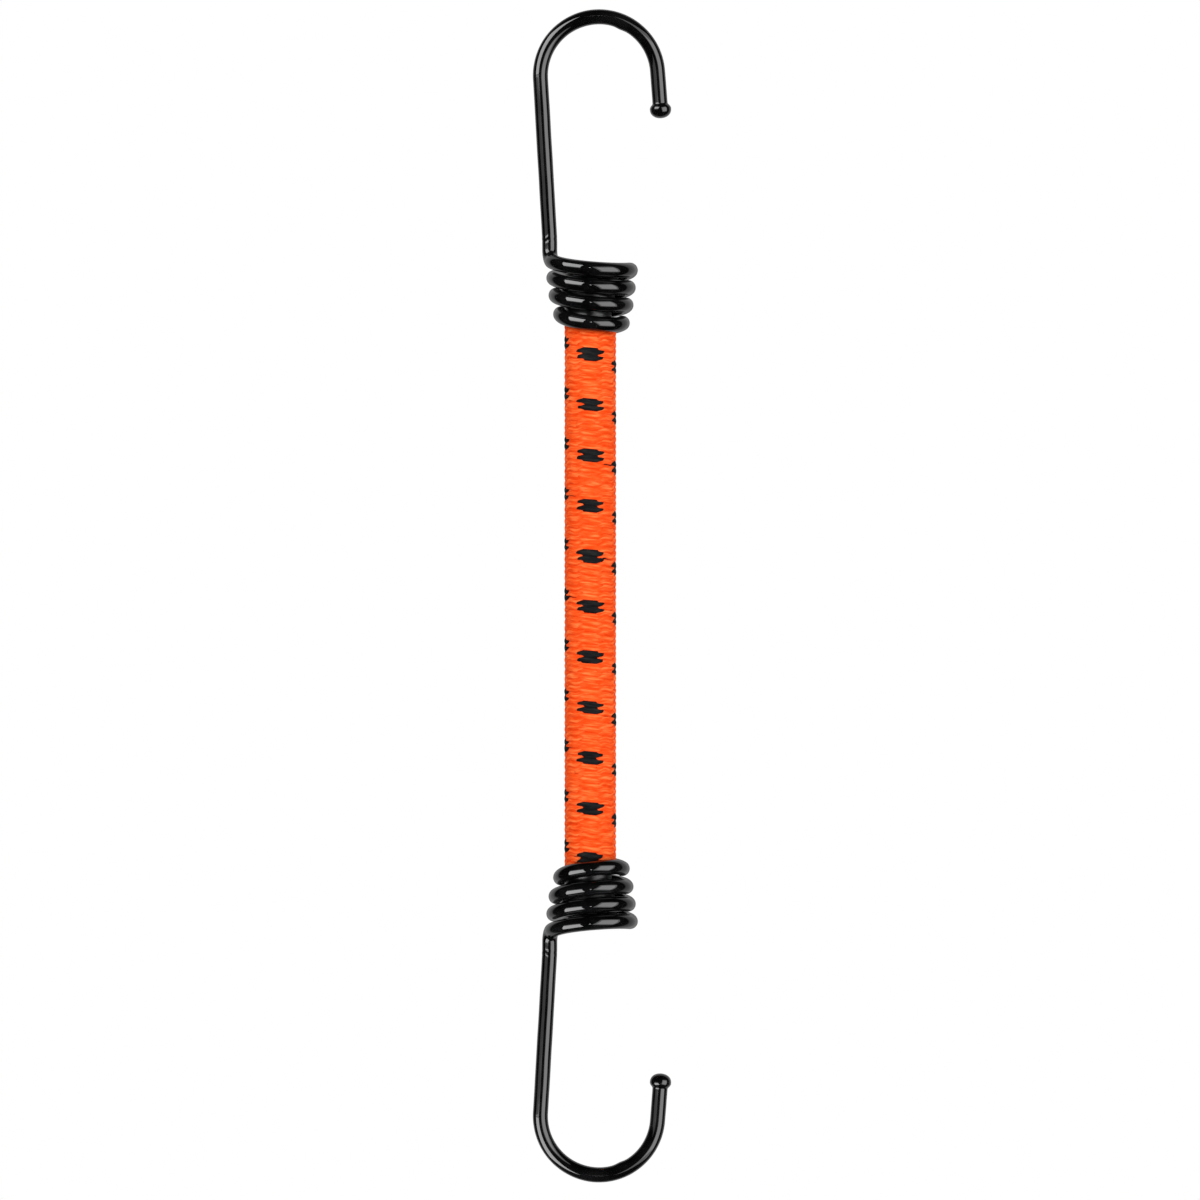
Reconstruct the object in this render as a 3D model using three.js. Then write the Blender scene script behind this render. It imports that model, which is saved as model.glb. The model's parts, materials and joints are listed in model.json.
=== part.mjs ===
// Elastic bungee cord with a coated wire hook wound round each end.
//
// Units are millimetres and +Z is up. The cord hangs straight down from its upper hook. The origin
// is the middle of the flat at the top of the inside of the upper crown, where that hook bears on
// what it hangs from. Both hooks lie in the XZ plane, and the lower end mirrors the upper one.

import * as THREE from "three";

// Cord
const cordDiameter = 10.9;
const cordFreeLength = 115; // between the mouths of the two coils
const sheathWall = 0.7; // braided cover, two crossing yarns thick
const coreClearance = 0.3; // between the rubber and the cover
const strandClearance = 0.15; // between two rubber strands
const strandGridReach = 3; // strands on each side of the middle one
const strandGridRoundness = 10; // greatest squared grid distance of a strand

// Hook wire
const steelDiameter = 2.4;
const coatWall = 0.335;
const coatFit = 0.12; // between the steel and its vinyl coat

// Hook shape, on the wire's centreline
const crownRadius = 12.7;
const crownOffset = 1.9; // from the cord's axis to the crown's middle
const hookReach = 51.2; // from the crown's bearing flat down to the coil's first turn
const legLength = 8.25; // from the crown to the ball's middle
const legLean = 4.4; // degrees outwards
const footRadius = 2.2; // bend between the shank and the coil
const kneeRise = 4.4; // the shank is upright up to this height above the foot's corner

// Ball on the tip
const ballRadius = 2.32;
const ballDrop = 2.0; // from the ball's middle to its end
const ballNeck = 1.9; // from the ball's middle to the plain leg
const ballAngles = [-60, -30, 0, 30]; // degrees above the ball's middle, one for each of its rings

// Coil, on the wire's centreline
const coilTurns = 3.78;
const coilGap = 0.47; // free space between neighbouring turns
const coilWideStandoff = 2.95; // from the free cord's surface to the wide turn's centreline
const coilMidStandoff = 2;
const coilNarrowStandoff = 1.2;
const coilFootSpread = 0.37; // the first part of a turn starts this much wider
const coilOffset = 0.27; // from the cord's axis to the coil's, towards the balls
const coilLean = 0.95; // degrees that the turns fall from the shank's side to the balls' side
const coilTilt = 8.4; // degrees that the front half of each turn sags
const backSagShare = 0.52; // of the front's sag, in the back half
const sagRoundingShare = 0.2; // softness of the sag's two ends
const spreadTurnsShare = 0.35; // turn by which the foot's spread is gone
const midTurnsShare = 2.5; // turn at which the radius is the middle one
const narrowTurnsShare = 3.05; // turn at which the radius is the narrow one
const lastTurnDrop = 0.54; // how much lower the narrow turn hangs in front
const dropStartShare = 2.76; // turn at which it starts to fall
const dropFullShare = 3.2; // turn at which it has its full drop
const dropLeaveShare = 3.36; // turn at which it starts to come back up
const dropEndShare = 3.56; // turn at which the drop is gone

// Clamp on each end of the cord, inside the coil's wide turns
const clampWire = 1.2;
const clampGapAngle = 24; // degrees left open between its ends
const clampTurnShare = 0.9; // turn at whose height it lies
const clampClearance = 0.3; // to the cord it grips and to the coil round it

// How the cord fills the coil
const gripClearance = 0.3; // between the narrow turns and the cord
const bulgeClearance = 0.4; // between the wide turns and the cord
const cordEndRecess = 1.2; // the cord ends this far below the coil's first turn
const cordEndWall = 1.2; // between the clamp and the cord's cut end
const bulgeStartTurnShare = 1.45;
const bulgeEndTurnShare = 2.35;
const neckStartTurnShare = 2.9;
const mouthBlend = 1.2; // height over which the rubber swells again below the narrow turns
const rejoinTurnsShare = 0.22; // turn past the cut end over which the cord's mouth comes back up

// Fineness of the curved surfaces
const wireSides = 8;
const coilSteps = 16; // for each turn
const crownSteps = 7; // on each side of the bearing flat
const crownFlatAngle = 12; // degrees of the crown that the bearing flat takes up
const footSteps = 5;
const cordSides = 24;
const mouthSteps = 3; // from the cord's neck to its free width
const clampSides = 6;
const clampSteps = 14;
const gapSamples = 90; // for each turn, where the coil's gap to itself is measured

// Sizes worked out from those above
const steelRadius = steelDiameter / 2;
const boreRadius = steelRadius + coatFit;
const coatRadius = boreRadius + coatWall;
const coilPitch = 2 * coatRadius + coilGap;
const cordRadius = cordDiameter / 2;
const coilWideRadius = cordRadius + coilWideStandoff;
const coilMidRadius = cordRadius + coilMidStandoff;
const coilNarrowRadius = cordRadius + coilNarrowStandoff;
const cordAxisX = -crownOffset;
const coilAxisX = cordAxisX + coilOffset;
const crownZ = -(crownRadius - coatRadius);
const neckRadius = coilNarrowRadius - coatRadius - coilOffset - gripClearance;
const bulgeRadius = coilMidRadius - coatRadius - coilOffset - bulgeClearance;
const tiltFall = Math.tan(THREE.MathUtils.degToRad(coilTilt));
const leanFall = Math.tan(THREE.MathUtils.degToRad(coilLean));
const turn = 2 * Math.PI;

// The coil's radius after so many turns: a small spread at the foot, then a steady taper, then a
// quick step down to the narrow turn that grips the cord.
function coilRadius(turns) {
  const { smoothstep, lerp, clamp } = THREE.MathUtils;
  const spread = coilFootSpread * (1 - smoothstep(turns, 0, spreadTurnsShare));
  const taperShare = clamp((turns - 1 / 2) / (midTurnsShare - 1 / 2), 0, 1);
  const stepShare = smoothstep(turns, midTurnsShare, narrowTurnsShare);
  const tapered = lerp(coilWideRadius, coilMidRadius, taperShare) + spread;
  return lerp(tapered, coilNarrowRadius, stepShare);
}

// The height of the coil's centreline after so many turns, without its sag, lean and last drop.
const coilHeight = (turns) => -hookReach - coilPitch * turns;

// How far the coil's narrow turn hangs below its even pitch.
function coilDrop(turns) {
  const { smoothstep } = THREE.MathUtils;
  const fallen = smoothstep(turns, dropStartShare, dropFullShare);
  return lastTurnDrop * (fallen - smoothstep(turns, dropLeaveShare, dropEndShare));
}

// A point of the coil's centreline. It starts at the hook's shank, comes towards the front and
// winds down left-handed. Each turn sags between its left and right ends, more in front than at
// the back: the sag follows the size of the sine, with its corners rounded. The outset share
// spreads a faceted turn so that its flats lie on the arc.
function coilPoint(turns, outset = 1) {
  const angle = Math.PI + turn * turns;
  const radius = coilRadius(turns);
  const right = Math.cos(angle);
  const back = Math.sin(angle);
  const eitherWay = Math.hypot(back, sagRoundingShare) - sagRoundingShare;
  const sag = ((1 + backSagShare) * eitherWay - (1 - backSagShare) * back) / 2;
  return new THREE.Vector3(
    coilAxisX + radius * outset * right,
    radius * outset * back,
    coilHeight(turns) - coilDrop(turns) - radius * (tiltFall * sag + leanFall * right),
  );
}

function coilTangent(turns, outset) {
  const small = 1 / (coilSteps * gapSamples);
  return coilPoint(turns + small, outset).sub(coilPoint(turns - small, outset)).normalize();
}

// The least free space between two turns of the coil, measured on points of its centreline that
// lie more than a third of a turn apart.
function leastCoilGap() {
  const points = [];
  for (let i = 0; i <= coilTurns * gapSamples; i++) points.push(coilPoint(i / gapSamples));
  let least = Infinity;
  for (let i = 0; i < points.length; i++)
    for (let j = i + Math.ceil(gapSamples / 3); j < points.length; j++)
      least = Math.min(least, points[i].distanceTo(points[j]));
  return least - 2 * coatRadius;
}

// The wire's path from the middle of the ball to the cut end of the coil, as points, each with a
// hint of the direction that faces the inside of the bend. The hints keep the flats of the wire's
// section in line from one point to the next.
function wirePath() {
  const path = [];
  const rad = THREE.MathUtils.degToRad;
  const crownPoint = (angle, radius) =>
    new THREE.Vector3(radius * Math.cos(angle), 0, crownZ + radius * Math.sin(angle));
  const crownCentre = new THREE.Vector3(0, 0, crownZ);

  // The foot's corner is where the line of the shank meets the tangent of the coil's first point,
  // straight to the side of the cord's axis, so that the whole hook lies in one plane.
  const outset = 1 / Math.cos(Math.PI / coilSteps);
  const startTurns = Math.atan2(footRadius, coilRadius(0)) / turn;
  const coilStart = coilPoint(startTurns, outset);
  const coilWay = coilTangent(startTurns, outset);
  const footReach = coilStart.y / coilWay.y;
  const corner = coilStart.clone().addScaledVector(coilWay, -footReach);

  // The shank leaves the crown at its tangent through the knee, and is upright below it.
  const knee = corner.clone().setZ(corner.z + kneeRise);
  const toCentre = crownCentre.clone().sub(knee);
  const lean = Math.asin(crownRadius / toCentre.length()) - Math.atan2(toCentre.x, toCentre.z);
  const legAngle = rad(legLean);
  const flatHalf = rad(crownFlatAngle) / 2;
  const legStart = crownPoint(legAngle, crownRadius);
  const legWay = new THREE.Vector3(Math.sin(legAngle), 0, -Math.cos(legAngle));

  path.push({ at: legStart.clone().addScaledVector(legWay, legLength), inside: null });
  path.push({ at: legStart, inside: null });
  const arc = (from, to) => {
    const step = (to - from) / crownSteps;
    for (let i = 0; i < crownSteps; i++) {
      const angle = from + step * (i + 1 / 2);
      path.push({ at: crownPoint(angle, crownRadius / Math.cos(step / 2)), inside: null });
    }
  };
  arc(legAngle, Math.PI / 2 - 2 * flatHalf);
  for (const side of [-1, 1]) {
    const angle = Math.PI / 2 + side * flatHalf;
    path.push({ at: crownPoint(angle, crownRadius / Math.cos(flatHalf)), inside: null });
  }
  arc(Math.PI / 2 + 2 * flatHalf, Math.PI + lean);
  path.push({ at: crownPoint(Math.PI + lean, crownRadius), inside: null });
  for (const point of path) point.inside = crownCentre.clone().sub(point.at);
  const inwards = new THREE.Vector3(1, 0, 0);
  path.push({ at: knee, inside: inwards });

  // The foot's bend, an arc tangent to the upright and to the coil.
  const down = new THREE.Vector3(0, 0, -1);
  const bend = down.angleTo(coilWay);
  const bendRadius = footReach / Math.tan(bend / 2);
  const bendStart = corner.clone().addScaledVector(down, -footReach);
  const across = coilWay.clone().addScaledVector(down, -coilWay.dot(down)).normalize();
  for (let i = 0; i < footSteps; i++) {
    const angle = (bend * i) / footSteps;
    const at = bendStart
      .clone()
      .addScaledVector(down, bendRadius * Math.sin(angle))
      .addScaledVector(across, bendRadius * (1 - Math.cos(angle)));
    path.push({ at, inside: inwards });
  }

  // The coil, in whole steps from its first point to its cut end.
  const steps = Math.round((coilTurns - startTurns) * coilSteps);
  for (let i = 0; i <= steps; i++) {
    const turns = startTurns + ((coilTurns - startTurns) * i) / steps;
    const at = coilPoint(turns, outset);
    path.push({ at, inside: new THREE.Vector3(coilAxisX - at.x, -at.y, 0) });
  }
  return path;
}

// Frames for the sections of a tube along a path. Each section stands square to the path, and at
// a bend it is widened so that the straight runs on both sides keep their full width.
function framesAlong(path) {
  return path.map(({ at, inside }, i) => {
    const before = i > 0 ? at.clone().sub(path[i - 1].at).normalize() : null;
    const after = i < path.length - 1 ? path[i + 1].at.clone().sub(at).normalize() : null;
    const along = (before ?? after).clone().add(after ?? before).normalize();
    const side = inside.clone().addScaledVector(along, -inside.dot(along)).normalize();
    const up = along.clone().cross(side);
    const mitre = before && after ? after.clone().sub(before) : new THREE.Vector3();
    const widen = before && after ? 1 / Math.cos(before.angleTo(after) / 2) - 1 : 0;
    if (mitre.lengthSq() > 0) mitre.normalize();
    return { at, along, side, up, mitre, widen };
  });
}

// A ring of points round a frame, with flats at the given radius facing the side and up directions.
function ringAt(frame, radius, sides, shift = 0) {
  const corner = radius / Math.cos(Math.PI / sides);
  const ring = [];
  for (let i = 0; i < sides; i++) {
    const angle = (turn * (i + 1 / 2)) / sides;
    const offset = new THREE.Vector3()
      .addScaledVector(frame.side, corner * Math.cos(angle))
      .addScaledVector(frame.up, corner * Math.sin(angle));
    offset.addScaledVector(frame.mitre, frame.widen * offset.dot(frame.mitre));
    ring.push(offset.add(frame.at).addScaledVector(frame.along, shift));
  }
  return ring;
}

// A closed skin over a run of rings. Each end is closed with a fan to its own middle point, or
// the last ring joins the first one. The rings turn right-handed about the way they run.
function skin(rings, { startTip = null, endTip = null, looped = false } = {}) {
  const corners = [];
  const face = (...points) => points.forEach((p) => corners.push(p.x, p.y, p.z));
  const sides = rings[0].length;
  const runs = looped ? rings.length : rings.length - 1;
  for (let r = 0; r < runs; r++) {
    const a = rings[r];
    const b = rings[(r + 1) % rings.length];
    for (let i = 0; i < sides; i++) {
      const j = (i + 1) % sides;
      face(a[i], a[j], b[j]);
      face(a[i], b[j], b[i]);
    }
  }
  if (!looped) {
    const first = rings[0];
    const last = rings[rings.length - 1];
    for (let i = 0; i < sides; i++) {
      const j = (i + 1) % sides;
      face(startTip, first[j], first[i]);
      face(endTip, last[i], last[j]);
    }
  }
  const geometry = new THREE.BufferGeometry();
  geometry.setAttribute("position", new THREE.Float32BufferAttribute(corners, 3));
  geometry.computeVertexNormals();
  return geometry;
}

// A plain solid wire along a path.
function solidWire(path, radius, sides) {
  const frames = framesAlong(path);
  const rings = frames.map((frame) => ringAt(frame, radius, sides));
  return skin(rings, { startTip: path[0].at, endTip: path[path.length - 1].at });
}

// The vinyl coat: a ball at the tip, a plain skin along the wire, and a bore that is open at the
// cut end of the coil and blind inside the ball.
function hookCoat(path) {
  const frames = framesAlong(path);
  const tip = frames[0];
  const ballRings = [];
  for (const lift of ballAngles) {
    const angle = THREE.MathUtils.degToRad(lift);
    const reach = lift < 0 ? ballDrop : ballNeck;
    ballRings.push(ringAt(tip, ballRadius * Math.cos(angle), wireSides, reach * Math.sin(angle)));
  }
  ballRings.push(ringAt(tip, coatRadius, wireSides, ballNeck));
  const outer = frames.slice(1).map((frame) => ringAt(frame, coatRadius, wireSides));
  const bore = frames.slice(1).map((frame) => ringAt(frame, boreRadius, wireSides));
  bore.unshift(ringAt(tip, boreRadius, wireSides, -coatFit));
  return skin([...ballRings, ...outer, ...bore.reverse()], {
    startTip: tip.at.clone().addScaledVector(tip.along, -ballDrop),
    endTip: tip.at.clone().addScaledVector(tip.along, -coatFit),
  });
}

// Heights and radii of the cord's outside over its upper end, from the cut end down to where it
// has its free width: the end, the clamp's groove, the bulge in the wide turns, and the neck.
const clampOuterRadius = coilRadius(clampTurnShare) - coatRadius - coilOffset - clampClearance;
const clampRadius = clampOuterRadius - clampWire / 2;
const grooveRadius = clampOuterRadius - clampWire - clampClearance;
const clampHeight = coilHeight(clampTurnShare);
const cordEndHeight = Math.max(
  coilHeight(0) - cordEndRecess,
  clampHeight + clampWire / 2 + cordEndWall,
);
const mouthHeight = coilHeight(coilTurns - 1 / 4) - coatRadius;
const cordOutline = [
  [cordEndHeight, bulgeRadius],
  [clampHeight + clampWire / 2, grooveRadius],
  [clampHeight - clampWire / 2, grooveRadius],
  [coilHeight(bulgeStartTurnShare), bulgeRadius],
  [coilHeight(bulgeEndTurnShare), bulgeRadius],
  [coilHeight(neckStartTurnShare), neckRadius],
];
const middleHeight = mouthHeight - cordFreeLength / 2;

// The height of the last turn at an angle round the cord. Past the cut end the height comes back
// up to the start of that turn.
function lastTurnHeight(angle) {
  const { euclideanModulo, smoothstep, lerp } = THREE.MathUtils;
  const share = euclideanModulo((angle - Math.PI) / turn - coilTurns, 1);
  const onTurn = coilPoint(coilTurns - 1 + Math.max(share, rejoinTurnsShare)).z;
  return lerp(coilPoint(coilTurns).z, onTurn, smoothstep(share, 0, rejoinTurnsShare));
}

// Below the last turn the cord swells round the wire's lower side, from its neck to its free
// width, so its mouth falls with that turn. The reach is to the corners of the wire's section, and
// the wire's radius is its distance from the cord's axis.
const wireReach = coatRadius / Math.cos(Math.PI / wireSides) + gripClearance;
const mouthAngle = (wireRadius) => Math.acos((wireRadius - cordRadius) / wireReach);
const mouthDrop = wireReach * Math.sin(mouthAngle(coilNarrowRadius - coilOffset));
const lowestMouth = coilPoint(coilTurns).z - mouthDrop;

// The rubber runs straight through the coil at the width that its narrow turns leave it.
const coreOutline = [
  [cordEndHeight, neckRadius - sheathWall],
  [lowestMouth + mouthBlend, neckRadius - sheathWall],
  [lowestMouth, cordRadius - sheathWall],
];

// An outline of the upper end, followed by its mirror image at the lower end.
const mirroredHeight = (z) => 2 * middleHeight - z;
const withLowerEnd = (outline) => [
  ...outline,
  ...outline.map(([z, radius]) => [mirroredHeight(z), radius]).reverse(),
];

// A level ring round the cord.
const cordRing = ([z, radius]) =>
  ringAt(
    {
      at: new THREE.Vector3(cordAxisX, 0, z),
      along: new THREE.Vector3(0, 0, -1),
      side: new THREE.Vector3(1, 0, 0),
      up: new THREE.Vector3(0, -1, 0),
      mitre: new THREE.Vector3(),
      widen: 0,
    },
    radius,
    cordSides,
  );

// A ring of the mouth, which falls with the last turn round the cord.
function mouthRing(step) {
  return cordRing([0, 1]).map((point) => {
    const spoke = point.setX(point.x - cordAxisX);
    const angle = Math.atan2(spoke.y, spoke.x);
    const wireRadius = coilNarrowRadius + coilOffset * Math.cos(angle);
    const swell = (mouthAngle(wireRadius) * step) / mouthSteps;
    const radius = step > 0 ? wireRadius - wireReach * Math.cos(swell) : neckRadius;
    spoke.multiplyScalar(radius).setZ(lastTurnHeight(angle) - wireReach * Math.sin(swell));
    return spoke.setX(spoke.x + cordAxisX);
  });
}

// The braided cover, a sleeve open at both ends.
function sheath() {
  const upper = cordOutline.map(cordRing);
  for (let step = 0; step <= mouthSteps; step++) upper.push(mouthRing(step));
  const lower = upper.map((ring) => ring.map((p) => p.clone().setZ(mirroredHeight(p.z))));
  const inside = withLowerEnd(coreOutline).map(cordRing).reverse();
  return skin([...upper, ...lower.reverse(), ...inside], { looped: true });
}

// One square-cut rubber strand at a place in the core's grid. The grid's pitch follows the width
// of the core, and the space between strands stays the same.
function strand(column, row) {
  const reach = Math.hypot(strandGridReach + 1 / 2, 1 + 1 / 2);
  const centre = (z, pitch) => new THREE.Vector3(cordAxisX + column * pitch, row * pitch, z);
  const outline = withLowerEnd(coreOutline).map(([z, radius]) => [
    z,
    (radius - coreClearance) / reach,
  ]);
  const rings = outline.map(([z, pitch]) => {
    const half = (pitch - strandClearance) / 2;
    return [
      [1, -1],
      [-1, -1],
      [-1, 1],
      [1, 1],
    ].map(([x, y]) => centre(z, pitch).add(new THREE.Vector3(x * half, y * half, 0)));
  });
  const tips = outline.map(([z, pitch]) => centre(z, pitch));
  return skin(rings, { startTip: tips[0], endTip: tips[tips.length - 1] });
}

// The clamp: a wire ring, bent shut round the cord and left open by a small gap at the back.
function cordClamp() {
  const open = THREE.MathUtils.degToRad(clampGapAngle);
  const path = [];
  for (let i = 0; i <= clampSteps; i++) {
    const angle = Math.PI / 2 + open / 2 + ((turn - open) * i) / clampSteps;
    const inside = new THREE.Vector3(-Math.cos(angle), -Math.sin(angle), 0);
    const middle = new THREE.Vector3(cordAxisX, 0, clampHeight);
    path.push({ at: middle.addScaledVector(inside, -clampRadius), inside });
  }
  return solidWire(path, clampWire / 2, clampSides);
}

// Materials
const steel = () =>
  new THREE.MeshStandardMaterial({ color: 0x9a9c9e, roughness: 0.35, metalness: 1 });
const vinyl = () =>
  new THREE.MeshStandardMaterial({ color: 0x0b0b0c, roughness: 0.18, metalness: 0 });
const braid = () =>
  new THREE.MeshStandardMaterial({ color: 0xfa5a20, roughness: 0.75, metalness: 0 });
const rubber = () =>
  new THREE.MeshStandardMaterial({ color: 0xcdbb95, roughness: 0.8, metalness: 0 });

function piece(name, geometry, material) {
  const mesh = new THREE.Mesh(geometry, material);
  mesh.name = name;
  return mesh;
}

// One end of the cord: the hook's steel wire, its coat and the clamp on the cord.
function cordEnd(prefix) {
  const end = new THREE.Group();
  const path = wirePath();
  end.add(piece(`${prefix}_hook_wire`, solidWire(path, steelRadius, wireSides), steel()));
  end.add(piece(`${prefix}_hook_coating`, hookCoat(path), vinyl()));
  end.add(piece(`${prefix}_cord_clamp`, cordClamp(), steel()));
  return end;
}

const bungee = new THREE.Group();
bungee.add(cordEnd("upper"));
const lowerEnd = cordEnd("lower");
lowerEnd.scale.z = -1;
lowerEnd.position.z = mirroredHeight(0);
bungee.add(lowerEnd);
bungee.add(piece("braided_sheath", sheath(), braid()));
let strands = 0;
for (let row = strandGridReach; row >= -strandGridReach; row--)
  for (let column = -strandGridReach; column <= strandGridReach; column++)
    if (column * column + row * row <= strandGridRoundness) {
      strands += 1;
      const name = `rubber_strand_${String(strands).padStart(2, "0")}`;
      bungee.add(piece(name, strand(column, row), rubber()));
    }

const overall = 2 * (-middleHeight + 2 * coatRadius);
console.log(`least gap of the coil to itself ${leastCoilGap().toFixed(3)} mm`);
console.log(`overall length ${overall.toFixed(1)} mm, ${strands} rubber strands`);

export default bungee;
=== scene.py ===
"""Elastic bungee cord with a vinyl-coated wire hook wound round each end.

Every length is in metres. The cord hangs along Z from its upper hook, and the lower end mirrors
the upper one about the cord's middle. Both hooks lie in the XZ plane.
"""

import json
import math

import bpy
import numpy as np
from bpy.props import FloatProperty, FloatVectorProperty, PointerProperty
from mathutils import Matrix


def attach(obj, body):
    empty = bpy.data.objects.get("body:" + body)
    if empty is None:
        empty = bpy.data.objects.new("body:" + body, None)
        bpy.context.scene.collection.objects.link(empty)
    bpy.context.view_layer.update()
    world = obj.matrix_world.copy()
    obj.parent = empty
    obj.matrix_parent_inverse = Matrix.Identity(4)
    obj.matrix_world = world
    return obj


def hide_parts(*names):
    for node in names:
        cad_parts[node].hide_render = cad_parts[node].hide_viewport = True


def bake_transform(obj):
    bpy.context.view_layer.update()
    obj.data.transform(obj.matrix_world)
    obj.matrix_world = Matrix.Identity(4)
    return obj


bl_info = {
    "name": "Bungee Cord",
    "version": (1, 0, 0),
    "blender": (4, 5, 0),
    "location": "View3D > Sidebar > Bungee",
    "description": "Builds an elastic cord in a braided cover, with a coated wire hook on each end",
    "category": "Add Mesh",
}

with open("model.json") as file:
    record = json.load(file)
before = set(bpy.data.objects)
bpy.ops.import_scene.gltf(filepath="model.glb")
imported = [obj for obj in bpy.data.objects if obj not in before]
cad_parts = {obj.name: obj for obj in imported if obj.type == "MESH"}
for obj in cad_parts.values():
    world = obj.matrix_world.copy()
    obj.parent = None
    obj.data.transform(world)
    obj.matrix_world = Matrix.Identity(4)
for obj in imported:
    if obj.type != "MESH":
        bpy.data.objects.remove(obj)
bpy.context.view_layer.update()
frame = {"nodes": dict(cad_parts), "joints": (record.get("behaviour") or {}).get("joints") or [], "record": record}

MM = 0.001
TURN = 2 * math.pi
CORD_AXIS_X = frame["joints"][0]["pos_m"][0]
UPPER_SEAT_Z, LOWER_SEAT_Z = (mount["pos_m"][2] for mount in frame["record"]["mounts"])
MIDDLE_Z = (UPPER_SEAT_Z + LOWER_SEAT_Z) / 2

# Places along the coil, in turns from its foot
SPREAD_END = 0.35
TAPER_START, TAPER_END = 0.5, 2.5
GRIP_START = 3.05
DROP_START, DROP_END, RISE_START, RISE_END = 2.76, 3.2, 3.36, 3.56
CLAMP_TURN = 0.9
BULGE_START, BULGE_END, NECK_START = 1.45, 2.35, 2.9

CORD_RECESS = 1.2 * MM  # from the coil's start down to the cord's cut end
MOUTH_ROOM = 0.3 * MM  # between the last turn and the cord that swells round it
TRACERS = 2  # how many of the falling yarns are black
YARN_TOP_SHARE = 4 / 11  # share of the way round a yarn at which its top is
YARN_RECESS = 0.7 * MM  # the yarns stray up to here past where they are cut
STRAND_REACH = math.hypot(3.5, 1.5)  # the strands' outermost corner, in pitches of their grid


def length(name, default, description):
    """A length property, in metres, shown in the scene's own unit."""
    return FloatProperty(
        name=name, description=description, default=default, unit="LENGTH", precision=5
    )


def plain(name, default, description):
    """A property that is a plain number."""
    return FloatProperty(name=name, description=description, default=default)


def degrees(name, default, description):
    """An angle property whose default is given in degrees."""
    return FloatProperty(
        name=name, description=description, default=math.radians(default), subtype="ANGLE"
    )


def colour(name, default, description):
    """A linear colour property."""
    return FloatVectorProperty(
        name=name, description=description, default=default, size=3, min=0, max=1, subtype="COLOR"
    )


class HookSizes(bpy.types.PropertyGroup):
    """One hook: a bent steel wire, its vinyl coat and the coil that grips the cord."""

    steel_radius: length("Steel radius", 1.2 * MM, "Half the bare wire's thickness")
    coat_fit: length("Coat fit", 0.12 * MM, "Space between the wire and its coat")
    coat_wall: length("Coat wall", 0.335 * MM, "Thickness of the vinyl coat")
    crown_radius: length("Crown radius", 12.7 * MM, "Bend of the hook, on the wire's centreline")
    leg_length: length("Leg length", 8.25 * MM, "Straight wire from the crown to the ball's middle")
    leg_lean: degrees("Leg lean", 4.4, "How far the leg opens outwards")
    reach: length("Reach", 51.2 * MM, "From the seat in the crown to the coil's first turn")
    foot_radius: length("Foot radius", 2.2 * MM, "Bend between the shank and the coil")
    knee_rise: length("Knee rise", 4.4 * MM, "Height of the shank's knee above the foot's corner")
    knee_reach: length("Knee reach", 1.5 * MM, "Wire on each side of the knee that bends")
    ball_radius: length("Ball radius", 2.305 * MM, "Half the width of the ball on the tip")
    ball_drop: length("Ball drop", 2.0 * MM, "From the ball's middle to its end")
    ball_rise: length("Ball rise", 1.45 * MM, "Height that the ball's round top would have")
    ball_fillet: length("Ball fillet", 0.16 * MM, "Softness of the crease above the ball")
    coil_turns: plain("Coil turns", 3.78, "Turns round the cord")
    coil_gap: length("Coil gap", 0.47 * MM, "Free space between neighbouring turns")
    wide_radius: length("Wide radius", 8.4 * MM, "Centreline radius of the first turn")
    mid_radius: length("Middle radius", 7.45 * MM, "Centreline radius at the end of the taper")
    narrow_radius: length("Narrow radius", 6.65 * MM, "Centreline radius of the gripping turn")
    foot_spread: length("Foot spread", 0.37 * MM, "How much wider the coil starts")
    coil_offset: length("Coil offset", 0.27 * MM, "From the cord's axis to the coil's, towards +X")
    coil_lean: degrees("Coil lean", 0.95, "Fall of the turns from the shank's side to the other")
    coil_tilt: degrees("Coil tilt", 8.4, "How far the front half of each turn sags")
    back_sag: plain("Back sag", 0.52, "Sag of the back half, as a share of the front's")
    sag_rounding: plain("Sag rounding", 0.2, "Softness of the sag")
    last_drop: length("Last drop", 0.54 * MM, "How much lower the gripping turn hangs in front")
    rejoin: plain("Rejoin", 0.22, "Share of a turn that closes the cord's mouth")
    ripple: length("Ripple", 0.014 * MM, "Unevenness of the dipped coat")
    wrinkle: length("Wrinkle", 0.06 * MM, "Height of the coat's folds above the foot")
    coat_colour: colour("Coat colour", (0.0022, 0.0022, 0.0024), "Black vinyl")
    steel_colour: colour("Steel colour", (0.56, 0.57, 0.58), "Drawn steel")


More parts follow.
